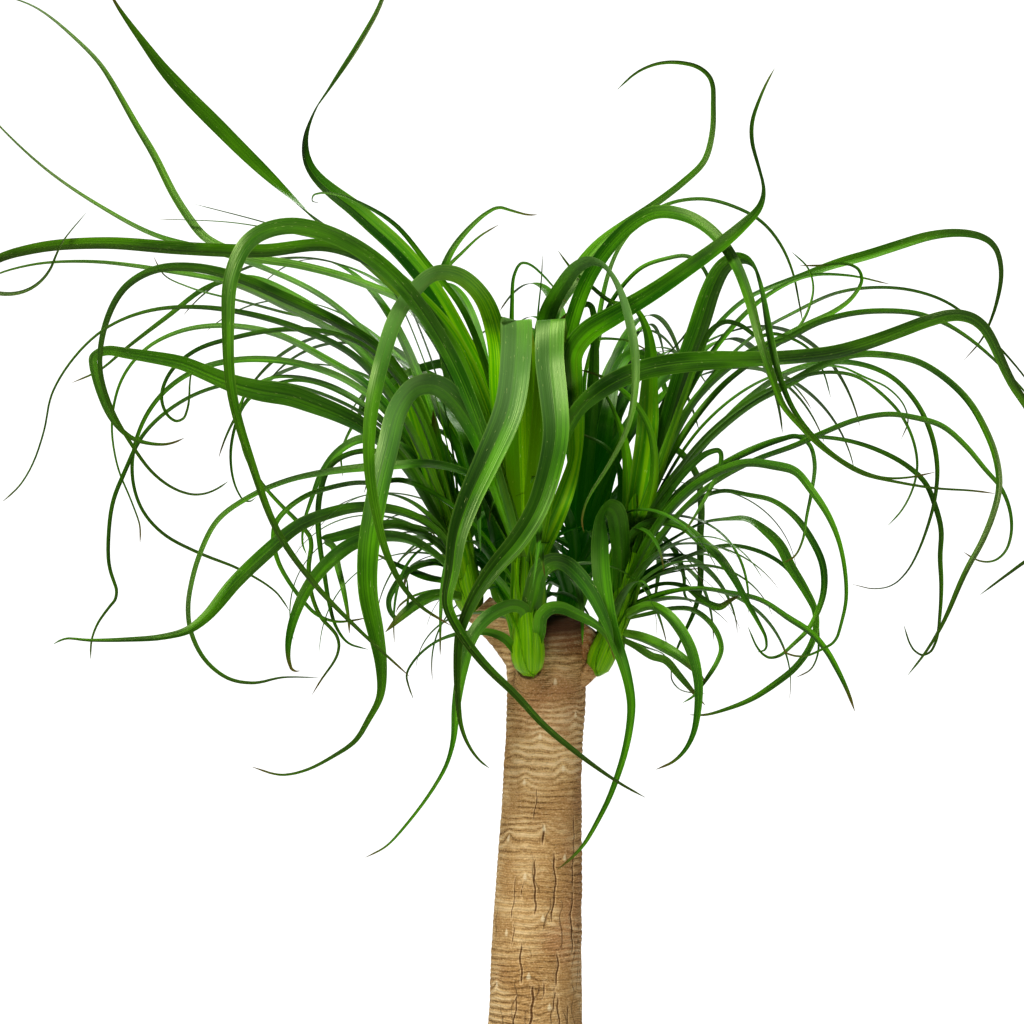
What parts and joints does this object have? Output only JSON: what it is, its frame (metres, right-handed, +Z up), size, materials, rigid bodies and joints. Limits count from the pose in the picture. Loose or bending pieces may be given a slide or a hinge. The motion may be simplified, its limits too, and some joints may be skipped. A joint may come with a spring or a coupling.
{
  "type": "potted ponytail palm",
  "caption": "Ponytail palm with a tall ringed trunk, arching strap leaves in shoots at its cut top, and a plain tapered pot filled with soil.",
  "frame": {"origin": "centre of the pot's flat base", "axes": "+Z up along the trunk, -Y towards the front that the picture shows, +X to the right in it"},
  "size_m": [0.8439, 0.577, 1.1584],
  "materials": {
    "bark": "rough ringed bark",
    "leaf": "satin green leaf",
    "soil": "matte potting soil",
    "pot": "matte terracotta colour"
  },
  "bodies": {
    "root": {"trunk": "bark", "leaf_head_front": "leaf", "leaf_head_right": "leaf", "leaf_head_left": "leaf", "leaf_head_back_left": "leaf", "leaf_head_back_right": "leaf", "soil": "soil", "pot": "pot"}
  },
  "joints": []
}
